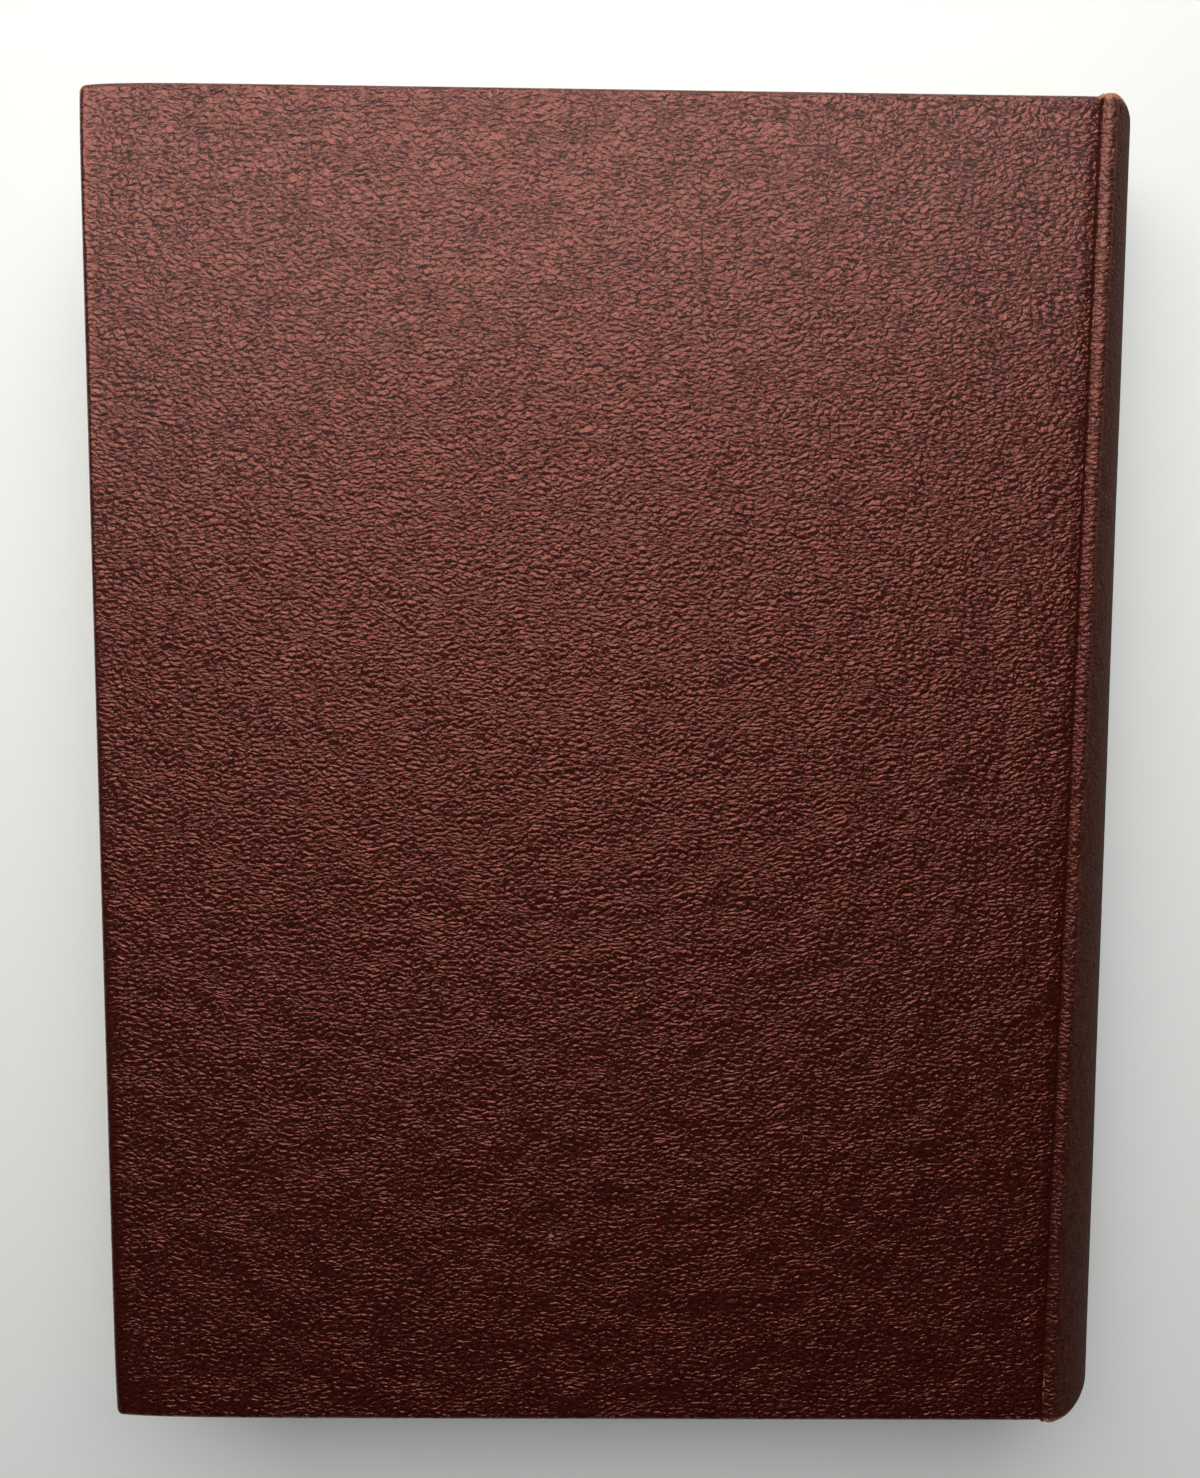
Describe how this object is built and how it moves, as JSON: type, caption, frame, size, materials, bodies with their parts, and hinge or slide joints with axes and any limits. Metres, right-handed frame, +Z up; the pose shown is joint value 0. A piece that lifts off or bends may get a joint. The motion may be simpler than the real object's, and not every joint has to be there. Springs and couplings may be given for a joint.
{
  "type": "hardback book",
  "caption": "Closed hardback book in full grained leather, with a smooth rounded spine, tight joints, two hinged covers, endpapers, endbands and a solid block of pages.",
  "frame": {"origin": "middle of the closed book's box, on the surface that its front cover lies on", "axes": "+X from the fore-edge towards the spine, +Y from the tail towards the head, +Z up through the back cover"},
  "size_m": [0.1983, 0.2554, 0.034],
  "materials": {
    "grained_leather": "satin",
    "page_paper": "matte",
    "endpaper": "matte",
    "greyboard": "matte",
    "kraft_paper": "matte",
    "mull_cloth": "matte",
    "linen_tape": "matte",
    "endband_silk": "satin"
  },
  "bodies": {
    "text_block": {"pages": "page_paper", "back_flyleaf": "endpaper", "front_flyleaf": "endpaper", "sewing_tapes": "linen_tape", "head_band": "endband_silk", "tail_band": "endband_silk", "mull": "mull_cloth", "spine_hollow": "kraft_paper", "spine_leather": "grained_leather"},
    "back_cover": {"back_board": "greyboard", "back_leather": "grained_leather", "back_pastedown": "endpaper"},
    "front_cover": {"front_board": "greyboard", "front_leather": "grained_leather", "front_pastedown": "endpaper"}
  },
  "joints": [
    {"name": "back_hinge", "type": "hinge", "parent": "text_block", "child": "back_cover", "pos_m": [0.08565, 0, 0.034], "axis": [0, 1, 0], "range_deg": [0, 180]},
    {"name": "front_hinge", "type": "hinge", "parent": "text_block", "child": "front_cover", "pos_m": [0.08565, 0, 0], "axis": [0, -1, 0], "range_deg": [0, 180]}
  ]
}
